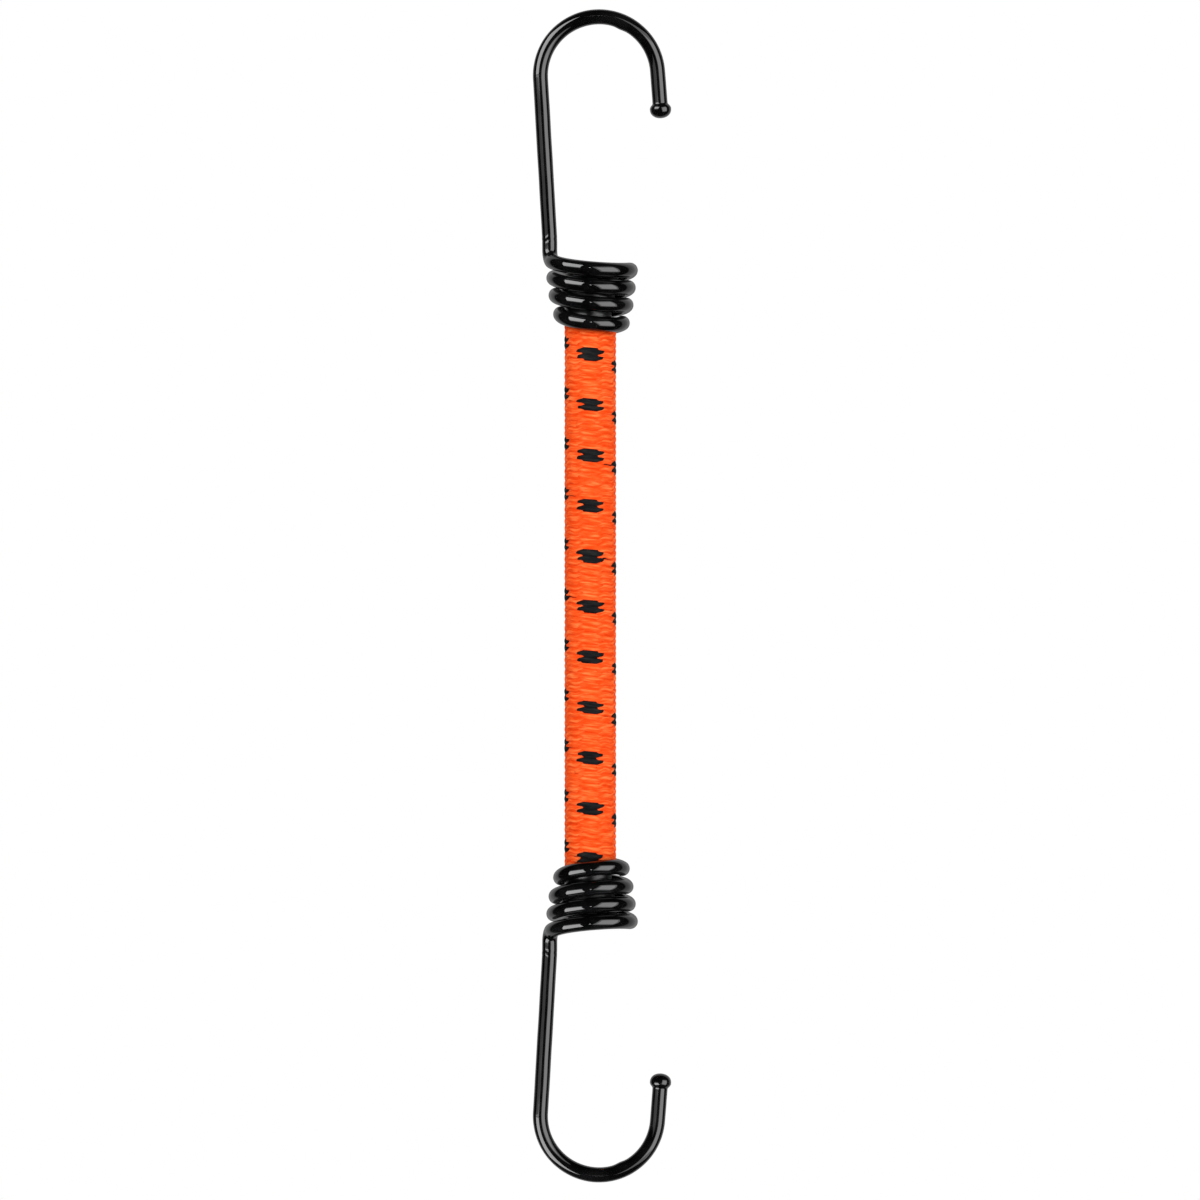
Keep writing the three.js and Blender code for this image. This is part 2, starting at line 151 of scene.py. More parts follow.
class CordSizes(bpy.types.PropertyGroup):
    """The cord: a braided cover of sixteen yarns over square-cut rubber strands."""

    radius: length("Radius", 5.45 * MM, "Half the cord's free width")
    bend_length: length("Bend length", 20 * MM, "Stretch next to each coil that bends")
    neck_radius: length("Neck radius", 4.425 * MM, "Half the cord's width in the gripping turn")
    bulge_radius: length("Bulge radius", 5.125 * MM, "Half the cord's width in the wide turns")
    groove_radius: length("Groove radius", 4.485 * MM, "Half the cord's width under the clamp")
    wall: length("Cover wall", 0.7 * MM, "Two crossing yarns thick")
    core_gap: length("Core gap", 0.3 * MM, "Between the rubber and the cover")
    strand_gap: length("Strand gap", 0.15 * MM, "Between two rubber strands")
    core_blend: length("Core blend", 1.2 * MM, "Height over which the rubber swells again")
    lay: length("Lay", 10.89 * MM, "Height of one full turn of a yarn")
    yarn_wave: plain("Yarn wave", 0.043, "Levelling of the yarns on top, in lays")
    mark_height: length("Mark height", -71.57 * MM, "Middle of the uppermost tracer mark in front")
    yarn_width: length("Yarn width", 1.86 * MM, "Width of the flat yarn")
    yarn_crown: length("Yarn crown", 0.24 * MM, "Height of a yarn's middle above its edges")
    yarn_lift: length("Yarn lift", 0.1 * MM, "Rise and fall of a yarn as it goes over and under")
    tracer_fullness: plain("Tracer fullness", 1.15, "Size of a black yarn beside an orange one")
    wander: length("Wander", 0.07 * MM, "How far a yarn strays from its even path")
    clamp_wire: length("Clamp wire", 1.2 * MM, "Thickness of the clamp's wire")
    clamp_radius: length("Clamp radius", 5.385 * MM, "Centreline radius of the clamp")
    clamp_gap: degrees("Clamp gap", 24, "Opening left between the clamp's ends")
    yarn_colour: colour("Yarn colour", (0.70, 0.076, 0.011), "Bright orange")
    # The light colour's streaks are partly the yarn's own tone and partly a painted sheen. The dark colour makes
    # darker streaks, and it also paints shade at the yarns' edges and where they dive under.
    yarn_streaks_and_sheen: colour("Yarn light", (0.74, 0.17, 0.044), "Streaks on the orange yarns")
    yarn_dark_and_shade: colour("Yarn dark", (0.58, 0.033, 0.0012), "Edges of the orange yarns")
    tracer_colour: colour("Tracer colour", (0.0072, 0.0080, 0.0088), "Black with a blue cast")
    # The same for the black yarns: light streaks partly painted sheen, dark colour also painted shade at edges and
    # dives.
    tracer_streaks_and_sheen: colour("Tracer light", (0.016, 0.016, 0.015), "Streaks on the black yarns")
    tracer_dark_and_shade: colour("Tracer dark", (0.0030, 0.0030, 0.0032), "Edges of the black yarns")
    rubber_colour: colour("Rubber colour", (0.62, 0.50, 0.33), "Natural rubber")
    clamp_colour: colour("Clamp colour", (0.60, 0.60, 0.60), "Zinc")


class StageSizes(bpy.types.PropertyGroup):
    """Camera, lights and floor."""

    frame_width: length("Frame width", 259.8 * MM, "Width of the picture at the cord")
    frame_x: length("Frame X", 0.2 * MM, "Middle of the picture")
    frame_z: length("Frame Z", -124.6 * MM, "Middle of the picture")
    camera_distance: length("Camera distance", 2.0, "From the camera to the cord")
    floor_drop: length("Floor drop", 0.30, "From the cord's middle to the floor")
    floor_radius: length("Floor radius", 1.4, "Half the floor's width")
    panel_distance: length("Panel distance", 1.2, "From the cord to the soft boxes")


# Shapes: every surface is a grid of points worked out with whole arrays


def smoothstep(x, low, high):
    """0 below low, 1 above high, and 3t^2 - 2t^3 between, where t is x's share of the way."""
    t = np.clip((x - low) / (high - low), 0, 1)
    return t * t * (3 - 2 * t)


def unit(v):
    """Each vector divided by its own length."""
    return v / np.linalg.norm(v, axis=-1, keepdims=True)


def mirrored(points):
    """The same points at the cord's lower end: z is reflected in the cord's middle."""
    return points * [1, 1, -1] + [0, 0, 2 * MIDDLE_Z]


def travelled(line):
    """The length along a line of points up to each of them."""
    gaps = np.linalg.norm(np.diff(line, axis=0), axis=1)
    return np.concatenate([[0], np.cumsum(gaps)])


def waves(seed, terms, *phases):
    """A smooth wander, mostly between -1 and 1: the sum of sines of whole mixes of the phases, over
    the square root of their number.

    Each phase is an angle for each point. Every term takes its own multiples and offset.
    """
    random = np.random.default_rng(seed)
    total = 0
    for _ in range(terms):
        angle = random.uniform(0, TURN)
        for phase, reach in phases:
            angle = angle + phase * random.integers(-reach, reach + 1)
        total = total + np.sin(angle)
    return total / math.sqrt(terms)


def add_mesh(name, points, faces, along=None, across=None, slots=None):
    """A mesh object at the origin from points, four-cornered faces and, for each corner, a UV.

    A face whose last two corners are alike is a triangle. Faces are turned to point outwards by
    the sign of the enclosed volume, a sixth of the sum of a . (b x c) over their triangles.
    """
    points, faces = np.asarray(points, float), np.asarray(faces)
    a, b, c, d = (points[faces[:, k]] for k in range(4))
    centre = points.mean(axis=0)
    volume = np.sum((a - centre) * np.cross(b - centre, c - centre))
    volume += np.sum((a - centre) * np.cross(c - centre, d - centre))
    uv = None if along is None else np.stack([along, across], axis=-1)
    narrow = faces[:, 2] == faces[:, 3]
    if volume < 0:
        order = np.where(narrow[:, None], [1, 0, 2, 3], [1, 0, 3, 2])
        faces = np.take_along_axis(faces, order, axis=1)
        if uv is not None:
            uv = np.take_along_axis(uv, order[..., None], axis=1)
    kept = np.ones(faces.shape, bool)
    kept[:, 3] = ~narrow
    corners = faces[kept]
    totals = kept.sum(axis=1)
    mesh = bpy.data.meshes.new(name)
    mesh.vertices.add(len(points))
    mesh.vertices.foreach_set("co", points.astype(np.float32).ravel())
    mesh.loops.add(len(corners))
    mesh.loops.foreach_set("vertex_index", corners.astype(np.int32))
    mesh.polygons.add(len(faces))
    starts = np.concatenate([[0], np.cumsum(totals)[:-1]])
    mesh.polygons.foreach_set("loop_start", starts.astype(np.int32))
    if slots is not None:
        mesh.polygons.foreach_set("material_index", np.asarray(slots, np.int32))
    if uv is not None:
        layer = mesh.uv_layers.new(name="Surface")
        layer.data.foreach_set("uv", uv[kept].astype(np.float32).ravel())
    mesh.update(calc_edges=True)
    mesh.validate()
    mesh.shade_smooth()
    piece = bpy.data.objects.new(name, mesh)
    bpy.context.scene.collection.objects.link(piece)
    return piece


def ring_faces(rows, sides, closed=False):
    """The four-cornered faces between each ring of a row-by-row list of points and the next, with
    the last ring joined to the first if it is closed, and each face's row and side."""
    row, side = np.meshgrid(np.arange(rows - (not closed)), np.arange(sides), indexing="ij")
    row, side = row.ravel(), side.ravel()
    here, there, after = row * sides, (row + 1) % rows * sides, (side + 1) % sides
    return np.stack([here + side, here + after, there + after, there + side], axis=1), row, side


def circles(centre, first, second, radius, sides):
    """A circle about each centre: its points are centre + radius (first cos a + second sin a)."""
    angle = TURN * np.arange(sides) / sides
    spokes = first[:, None] * np.cos(angle)[:, None] + second[:, None] * np.sin(angle)[:, None]
    return centre[:, None] + np.broadcast_to(radius, spokes.shape[:2])[..., None] * spokes


def tubes(name, rings, tips, travel, slots=None):
    """One mesh of closed tubes. rings is (tube, step, side, xyz), tips the two middle points that
    close each tube, travel the length along it at each step, and slots each tube's material.

    Each tube's points are laid out row by row, with its two tips last. The UV is the length along
    the tube and the share of the way round it.
    """
    copies, steps, sides, _ = rings.shape
    points = np.concatenate([rings.reshape(copies, -1, 3), tips], axis=1)
    size = steps * sides + 2
    walls, step, side = ring_faces(steps, sides)
    ring = np.arange(sides)
    follow, start_tip, end_tip = (ring + 1) % sides, 0 * ring + size - 2, 0 * ring + size - 1
    first = np.stack([follow, ring, start_tip, start_tip], axis=1)
    end = (steps - 1) * sides
    last = np.stack([end + ring, end + follow, end_tip, end_tip], axis=1)
    faces = np.concatenate([walls, first, last])
    travel = np.broadcast_to(travel, (copies, steps))
    cap = np.ones((1, sides, 4))
    along = [travel[:, np.stack([step, step, step + 1, step + 1], axis=1)]]
    along += [travel[:, :1, None] * cap, travel[:, -1:, None] * cap]
    along = np.concatenate(along, axis=1)
    round_wall = np.stack([side, side + 1, side + 1, side], axis=1) / sides
    round_end = np.stack([ring, ring + 1, ring, ring], axis=1) / sides
    across = np.concatenate([round_wall, round_end, round_end])
    faces = (faces[None] + size * np.arange(copies)[:, None, None]).reshape(-1, 4)
    across = np.broadcast_to(across, (copies, *across.shape)).reshape(-1, 4)
    if slots is not None:
        slots = np.repeat(slots, len(faces) // copies)
    return add_mesh(name, points.reshape(-1, 3), faces, along.reshape(-1, 4), across, slots)


# Hook


def coil_radius(hook, turns):
    """The coil's radius: a small spread at the foot, a steady taper, then a quick step down."""
    spread = hook.foot_spread * (1 - smoothstep(turns, 0, SPREAD_END))
    taper = np.clip((turns - TAPER_START) / (TAPER_END - TAPER_START), 0, 1)
    tapered = hook.wide_radius + (hook.mid_radius - hook.wide_radius) * taper + spread
    return tapered + (hook.narrow_radius - tapered) * smoothstep(turns, TAPER_END, GRIP_START)


def coat_radius(hook):
    """Half the thickness of the coated wire."""
    return hook.steel_radius + hook.coat_fit + hook.coat_wall


def coil_drop(hook, turns):
    """How far the gripping turn hangs below the even pitch: a smooth fall, then a smooth rise."""
    fall = smoothstep(turns, DROP_START, DROP_END)
    return hook.last_drop * (fall - smoothstep(turns, RISE_START, RISE_END))


def coil_points(hook, turns):
    """x and y run round the coil's axis at the coil's radius, starting at -X and turning to -Y,
    and z falls by one pitch a turn, by the lean towards +X and by the last turn's drop. Each turn
    also sags by the radius times the tilt times ((1 + b) h - (1 - b) s) / 2, where s is the
    angle's sine, h is sqrt(s^2 + e^2) - e, b is the back's share of the sag and e the rounding."""
    turns = np.asarray(turns, float)
    angle = math.pi + TURN * turns
    radius = coil_radius(hook, turns)
    right, back, soft, share = np.cos(angle), np.sin(angle), hook.sag_rounding, hook.back_sag
    either_way = np.hypot(back, soft) - soft
    fall = math.tan(hook.coil_tilt) * ((1 + share) * either_way - (1 - share) * back) / 2
    fall = fall + math.tan(hook.coil_lean) * right
    x = CORD_AXIS_X + hook.coil_offset + radius * right
    z = coil_height(hook, turns) - coil_drop(hook, turns) - radius * fall
    return np.stack([x, radius * back, z], axis=-1)


def coil_height(hook, turns):
    """Height of the coil's centreline after so many turns, without its sag, lean and last drop."""
    return UPPER_SEAT_Z - hook.reach - (2 * coat_radius(hook) + hook.coil_gap) * turns


def hook_line(hook, spacing=0.05 * MM):
    """The wire's centreline from the ball's middle to the coil's cut end, as closely set points,
    each with a hint of the way to the inside of its bend.

    It is a straight leg, an arc about the crown's centre, a straight shank tangent to that arc, a
    knee a (1-t)^2 + 2 k t (1-t) + b t^2 between points a and b beside its corner k, an upright
    stretch, an arc at the foot tangent to it and to the coil, and the coil.
    """

    def steps(distance):
        return np.linspace(0, 1, max(8, int(distance / spacing)), endpoint=False)[:, None]

    crown = np.array([0, 0, UPPER_SEAT_Z - hook.crown_radius + coat_radius(hook)])
    start_turns = math.atan2(hook.foot_radius, coil_radius(hook, 0)) / TURN
    coil_start, coil_next = coil_points(hook, [start_turns, start_turns + 1e-5])
    coil_way = unit(coil_next - coil_start)
    reach = coil_start[1] / coil_way[1]
    corner = coil_start - coil_way * reach
    knee = corner + [0, 0, hook.knee_rise]
    to_centre = crown - knee
    lean = math.asin(hook.crown_radius / np.linalg.norm(to_centre))
    lean -= math.atan2(to_centre[0], to_centre[2])

    def on_crown(angle):
        return crown + hook.crown_radius * np.concatenate(
            [np.cos(angle), 0 * angle, np.sin(angle)], axis=-1
        )

    leg_top = on_crown(np.array([hook.leg_lean]))
    leg_way = np.array([math.sin(hook.leg_lean), 0, -math.cos(hook.leg_lean)])
    leg = leg_top + leg_way * hook.leg_length * (1 - steps(hook.leg_length))
    swing = math.pi + lean - hook.leg_lean
    arc = on_crown(hook.leg_lean + swing * steps(hook.crown_radius * swing))
    shank_top = on_crown(np.array([math.pi + lean]))
    shank_way = np.array([math.sin(lean), 0, -math.cos(lean)])
    down = np.array([0, 0, -1.0])
    knee_top, knee_end = knee - shank_way * hook.knee_reach, knee + down * hook.knee_reach
    shank = shank_top + (knee_top - shank_top) * steps(np.linalg.norm(knee_top - shank_top))
    t = steps(2 * hook.knee_reach)
    bow = knee_top * (1 - t) ** 2 + 2 * knee * t * (1 - t) + knee_end * t**2
    foot_top = corner - down * reach
    upright = knee_end + (foot_top - knee_end) * steps(np.linalg.norm(foot_top - knee_end))
    shank = np.concatenate([shank, bow, upright])
    bend = math.acos(float(down @ coil_way))
    bend_radius = reach / math.tan(bend / 2)
    sideways = unit(coil_way - down * float(down @ coil_way))
    turned = bend * steps(bend_radius * bend)
    foot = foot_top + bend_radius * (np.sin(turned) * down + (1 - np.cos(turned)) * sideways)
    coil_length = TURN * hook.coil_turns * hook.mid_radius
    turns = np.linspace(start_turns, hook.coil_turns, int(coil_length / spacing))
    coil = coil_points(hook, turns)
    inside = np.concatenate(
        [
            crown - leg,
            crown - arc,
            shank * 0 + [1, 0, 0],
            foot * 0 + [1, 0, 0],
            ([CORD_AXIS_X + hook.coil_offset, 0, 0] - coil) * [1, 1, 0],
        ]
    )
    line = np.concatenate([leg, arc, shank, foot, coil])
    foot_at = len(leg) + len(arc) + len(shank)
    return line, unit(inside), foot_at


class Wire:
    """A wire's centreline, read at any length along it, with a frame square to it."""

    def __init__(self, hook):
        self.line, self.inside, foot_at = hook_line(hook)
        self.travel = travelled(self.line)
        self.way = unit(np.gradient(self.line, self.travel, axis=0))
        self.length = self.travel[-1]
        self.foot = self.travel[foot_at]

    def read(self, table, travel):
        """Each column of a table of vectors, straight between its points."""
        return np.stack([np.interp(travel, self.travel, table[:, k]) for k in range(3)], axis=-1)

    def frame(self, travel):
        """Centre, forward, inward and upward vectors at each length. Before the start the wire
        runs straight on."""
        way = unit(self.read(self.way, travel))
        centre = self.read(self.line, travel) + way * np.minimum(travel, 0)[:, None]
        inward = self.read(self.inside, travel)
        inward = unit(inward - way * np.sum(inward * way, axis=1, keepdims=True))
        return centre, way, inward, np.cross(way, inward)

    def rings(self, travel, radius, sides):
        """Circles square to the wire, which start on the inside of its bend. radius is one number
        for each step and side."""
        centre, _, inward, upward = self.frame(travel)
        return circles(centre, inward, upward, radius, sides)


def ball_profile(hook, travel):
    """The coat's radius near the tip, by height above the ball's middle: below it a quarter of a
    full oval, R (1 - t^2.3)^(1/2.1), above it an oval joined to the plain leg with a soft crease,
    which is the smooth maximum k log(exp(a/k) + exp(b/k)) of the two radii."""
    below = np.clip(-travel / hook.ball_drop, 0, 1)
    above = np.clip(travel / hook.ball_rise, 0, 1)
    bottom = hook.ball_radius * (1 - below**2.3) ** (1 / 2.1)
    top = hook.ball_radius * np.sqrt(1 - above**2)
    leg = coat_radius(hook)
    soft = hook.ball_fillet
    joined = np.maximum(top, leg) + soft * np.log1p(np.exp(-np.abs(top - leg) / soft))
    lift = soft * math.log1p(math.exp(-(hook.ball_radius - leg) / soft))
    joined -= lift * (1 - above)
    return np.where(travel < 0, bottom, joined)


def coat_relief(hook, wire, travel, angle):
    """How far the coat stands out from a plain tube: a faint ripple all over, slanted folds on the
    shank's front above the foot, and a lump inside the crown. Folds and lump fade along the wire
    as exp(-(s/w)^2), where s is the way from their middle."""
    ripple_length, ripple_sink, fade_end = 5.5 * MM, 1.2, 3 * MM
    fold_rise, fold_length, fold_reach = 2.3 * MM, 1.25 * MM, 0.85 * MM
    lump_height, lump_reach, lump_angle = 0.16 * MM, 1.3 * MM, math.radians(61.6)
    ripple = waves(3, 9, (travel / ripple_length, 4), (angle, 2)) - ripple_sink
    ripple = hook.ripple * ripple * smoothstep(travel, 0, fade_end)
    above = wire.foot - fold_rise - travel
    slant = 2.2 * np.sin(angle - 2.0) + 1.3 * np.sin(3 * angle + 0.8)
    folds = hook.wrinkle * np.sin(TURN * above / fold_length + slant)
    folds = folds * np.exp(-((above / fold_reach) ** 2)) * (0.5 + 0.5 * np.sin(angle - 0.3)) ** 2
    lump_at = hook.leg_length + hook.crown_radius * lump_angle
    lump = lump_height * np.exp(-(((travel - lump_at) / lump_reach) ** 2))
    lump = lump * np.clip(np.cos(angle), 0, 1) ** 2
    return ripple + folds + lump


def make_coat(name, hook, lower):
    """The vinyl coat: its outside from the ball's pole along the wire to the cut end, whose edge
    is rounded, then back along the bore to a blind end inside the ball."""
    sides = 32
    wire = Wire(hook)
    ball = -hook.ball_drop * np.cos(np.linspace(0.04, math.pi / 2, 18))
    neck = np.linspace(0, 3 * MM, 40)[1:]
    tube = np.arange(3.3 * MM, wire.length - 0.12 * MM, 0.32 * MM)
    end = wire.length + np.array([-0.10, -0.05, -0.02, 0]) * MM
    rounding = np.array([0, 0.01, 0.03, 0.07]) * MM
    out = np.concatenate([ball, neck, tube, end])
    angle = TURN * np.arange(sides) / sides
    radius = ball_profile(hook, out)[:, None] + coat_relief(hook, wire, out[:, None], angle)
    radius[-len(end) :] -= rounding[:, None]
    back = np.concatenate([[wire.length], tube[::-3], [0]])
    bore = np.full((len(back), sides), hook.steel_radius + hook.coat_fit)
    travel = np.concatenate([out, back])
    rings = wire.rings(travel, np.concatenate([radius, bore]), sides)
    pole = wire.frame(np.array([-hook.ball_drop, -hook.coat_fit]))[0]
    if lower:
        rings, pole = mirrored(rings), mirrored(pole)
    return tubes(name, rings[None], pole[None], travel + hook.ball_drop)


def make_steel(name, hook, lower):
    """The bare wire inside the coat: a plain tube with a sheared, slightly burred end."""
    sides = 20
    wire = Wire(hook)
    end = wire.length + np.array([-0.1, -0.03, 0]) * MM
    travel = np.concatenate([np.arange(0, wire.length - 0.2 * MM, 0.9 * MM), end])
    bevels, burr = [0.2 * MM, 0.06 * MM], 0.015 * MM
    radius = np.full(len(travel), hook.steel_radius)
    radius[[0, -1]] -= bevels
    radius[-2] += burr
    rings = wire.rings(travel, radius[:, None], sides)
    tips = wire.frame(travel[[0, -1]])[0]
    if lower:
        rings, tips = mirrored(rings), mirrored(tips)
    return tubes(name, rings[None], tips[None], travel)


# Cord


def mouth_height(hook):
    """Height of the free edge of the coil's last turn at the cord's right."""
    return coil_height(hook, hook.coil_turns - 0.25) - coat_radius(hook)


def last_turn_height(hook, angle):
    """Height of the last turn's centreline at an angle round the cord. Past the cut end it comes
    back up to the start of that turn by a smooth step."""
    share = (angle / TURN - 0.5 - hook.coil_turns) % 1
    on_turn = coil_points(hook, hook.coil_turns - 1 + np.maximum(share, hook.rejoin))[..., 2]
    end = coil_points(hook, hook.coil_turns)[2]
    return end + (on_turn - end) * smoothstep(share, 0, hook.rejoin)


def cord_top(hook):
    """Height of the cord's cut end inside the upper coil."""
    return coil_height(hook, 0) - CORD_RECESS


def upper_depth(z):
    """The height of each point, or of its mirror image where it lies in the lower half."""
    return np.maximum(z, 2 * MIDDLE_Z - z)


def softened(radius, z, softness=0.4 * MM):
    """The mean of a radius over a small height, which rounds its corners."""
    return np.mean([radius(z + offset) for offset in np.linspace(-softness, softness, 7)], axis=0)


def cover_radius(hook, cord, z, angle):
    """Outside of the cover: the cut end, the clamp's groove, the bulge and the neck, then the
    mouth, where the cord swells round the lower side of the last turn.

    At a drop d below that turn's centreline the mouth's radius is R - sqrt(w^2 - d^2), where R is
    the turn's distance from the cord's axis and w reaches from the wire's middle to the cord.
    """
    clamp = coil_height(hook, CLAMP_TURN)
    half = cord.clamp_wire / 2
    heights = [cord_top(hook), clamp + half, clamp - half]
    heights += [coil_height(hook, turns) for turns in (BULGE_START, BULGE_END, NECK_START)]
    radii = [cord.bulge_radius, cord.groove_radius, cord.groove_radius, cord.bulge_radius]
    radii += [cord.bulge_radius, cord.neck_radius]
    turn_radius = hook.narrow_radius + hook.coil_offset * np.cos(angle)
    reach = coat_radius(hook) + MOUTH_ROOM
    turn_height = last_turn_height(hook, angle)

    def radius(at):
        at = upper_depth(at)
        drop = np.clip(turn_height - at, 0, reach)
        swell = np.minimum(turn_radius - np.sqrt(reach**2 - drop**2), cord.radius)
        return np.where(drop > 0, swell, np.interp(-at, -np.array(heights), radii))

    return softened(radius, z)


def core_radius(hook, cord, z):
    """Outside of the rubber: the neck's width through the coil, then the free width."""
    mouth = coil_height(hook, hook.coil_turns) - coat_radius(hook)
    heights = np.array([mouth + cord.core_blend, mouth])
    inner = cord.neck_radius - cord.wall

    def radius(at):
        return np.interp(-upper_depth(at), -heights, [inner, cord.radius - cord.wall])

    return softened(radius, z)


def yarn_rings(hook, cord, z, handed, number):
    """The sections of one yarn at each height z, the points that close it, and the length along it.

    Unrolled, with u in turns from the front and v in lays, a falling yarn is v = i/8 - u and a
    rising one v = i/8 + u - 1/16. Falling yarns lie on top where cos(8 pi u) is positive and rising
    ones where it is negative, so each passes over two and under two. Both gain
    a (sin(8 pi u) - sin(16 pi u) / 5) in height, which lays the part on top nearly level. A yarn
    lifts by 0.5 c + 0.5 c^3 of its lift, where c is that cosine, so its floats keep long points.
    The section is a low ridge: a point is centre + across a + normal b, where the normal is that of
    the cover's side, (1, -dr/dz) in radius and height. The ridge lies one lift lower inside the
    coil, and half a lift higher where the cord has its free width, because a braid looks as wide as
    its floats.
    """
    start = cord.mark_height / cord.lay - 1 / 16
    v = z / cord.lay
    if handed > 0:
        u = number / 8 + start - v
    else:
        u = v - number / 8 - start + 1 / 16
    seed = 100 + number + (20 if handed > 0 else 0)
    slow = z / (9 * MM)
    stray = cord.wander * waves(seed, 6, (slow, 9))
    puff = 1 + 0.13 * waves(seed + 50, 5, (slow, 9))
    weave = 4 * TURN * u
    over = handed * np.cos(weave)
    lift = 0.5 * over + 0.5 * over**3
    theta = TURN * u
    outward = np.stack([np.sin(theta), -np.cos(theta), 0 * theta], axis=-1)
    level = np.sin(weave) - np.sin(2 * weave) / 5
    height = z + stray + cord.lay * cord.yarn_wave * level
    side = theta - TURN / 4
    cover = cover_radius(hook, cord, height, side)
    free = 1.5 * smoothstep(cover, cord.bulge_radius, cord.radius)
    lift = lift - 1 + free + 0.1 * waves(seed + 80, 5, (slow, 11))
    radius = cover - cord.yarn_crown + cord.yarn_lift * lift
    step = 0.2 * MM
    slope = cover_radius(hook, cord, height + step, side)
    slope = (slope - cover_radius(hook, cord, height - step, side)) / (2 * step)
    normal = unit(outward - slope[:, None] * [0, 0, 1])
    centre = outward * radius[:, None]
    centre = centre + np.stack([0 * z + CORD_AXIS_X, 0 * z, height], axis=-1)
    way = unit(np.gradient(centre, axis=0))
    across = unit(np.cross(way, normal))
    size = cord.tracer_fullness if handed > 0 and number < TRACERS else 1
    half = size * cord.yarn_width / 2
    reach = np.array([-1, -0.76, -0.48, -0.22, 0, 0.22, 0.48, 0.76, 1, 0.55, -0.55]) * half
    rise = np.array([-0.2, 0.36, 0.68, 0.92, 1, 0.92, 0.68, 0.36, -0.2, -0.9, -0.9])
    rise = rise * size * cord.yarn_crown
    rings = centre[:, None] + across[:, None] * reach[:, None] * puff[:, None, None]
    rings = rings + normal[:, None] * rise[:, None]
    return rings, centre[[0, -1]], travelled(centre), 0.5 + 0.5 * over


def make_yarns(name, hook, cord, top, bottom):
    """All sixteen yarns between two heights, each with 4.6 sections to a crossing. The first falling yarns are the
    black tracers. Each point keeps how far its yarn lies on top, from 0 to 1, which the material uses to paint
    shade where the yarn dives under."""
    steps = max(8, int((top - bottom) / cord.lay * 16 * 4.6))
    z = np.linspace(top, bottom, steps)
    rings, tips, travel, lifts, slots = [], [], [], [], []
    for handed in (1, -1):
        for number in range(8):
            ring, tip, way, lift = yarn_rings(hook, cord, z, handed, number)
            rings.append(ring)
            tips.append(tip)
            travel.append(way + 0.37 * number)
            lifts.append(np.concatenate([np.repeat(lift, ring.shape[1]), lift[[0, -1]]]))
            slots.append(1 if handed > 0 and number < TRACERS else 0)
    yarns = tubes(name, np.array(rings), np.array(tips), np.array(travel), np.array(slots))
    kept = yarns.data.attributes.new("lift", "FLOAT", "POINT")
    kept.data.foreach_set("value", np.concatenate(lifts).astype(np.float32))
    return yarns


def make_strands(name, hook, cord, top, bottom):
    """The square-cut rubber strands between two heights, on a grid that fills the core's circle.

    A corner of a strand lies at (column, row) times the pitch plus or minus half its width, and
    the pitch is the core's radius over the reach of the grid's outermost corner. Each square
    corner is cut off, at four fifths of its side's half.
    """
    places = [(column, row) for row in range(3, -4, -1) for column in range(-3, 4)]
    grid = np.array([place for place in places if math.hypot(*place) < 3.5], float)
    steps = max(3, int((top - bottom) / (1.2 * MM)))
    z = np.linspace(top, bottom, steps)
    pitch = (core_radius(hook, cord, z) - cord.core_gap) / STRAND_REACH
    half = (pitch - cord.strand_gap) / 2
    cut = 0.8
    square = np.array([[1, -cut], [1, cut], [cut, 1], [-cut, 1]])
    square = np.concatenate([square, -square])
    flat = grid[:, None, None] * pitch[:, None, None] + square * half[:, None, None]
    height = np.broadcast_to(z[:, None, None], (*flat.shape[:3], 1))
    rings = np.concatenate([flat, height], axis=-1) + [CORD_AXIS_X, 0, 0]
    tips = rings[:, [0, -1]].mean(axis=2)
    return tubes(name, rings, tips, top - z)


def make_clamp(name, hook, cord, lower):
    """The clamp: a wire ring bent shut round the cord, open at the back. Its ends are rounded, so
    the wire's radius falls as a quarter circle over its last stretch, to the end's flat."""
    sides, steps = 16, 120
    rounding, flat = 0.35 * MM, 0.55
    angle = math.pi / 2 + cord.clamp_gap / 2 + (TURN - cord.clamp_gap) * np.linspace(0, 1, steps)
    outward = np.stack([np.cos(angle), np.sin(angle), 0 * angle], axis=-1)
    centre = outward * cord.clamp_radius + [CORD_AXIS_X, 0, coil_height(hook, CLAMP_TURN)]
    travel = cord.clamp_radius * (angle - angle[0])
    near_end = np.clip(np.minimum(travel, travel[-1] - travel) / rounding, 0, 1)
    radius = cord.clamp_wire / 2 * (flat + (1 - flat) * np.sqrt(1 - (1 - near_end) ** 2))
    rings = circles(centre, outward, outward * 0 + [0, 0, 1], radius[:, None], sides)
    tips = centre[[0, -1]]
    if lower:
        rings, tips = mirrored(rings), mirrored(tips)
    return tubes(name, rings[None], tips[None], travel)


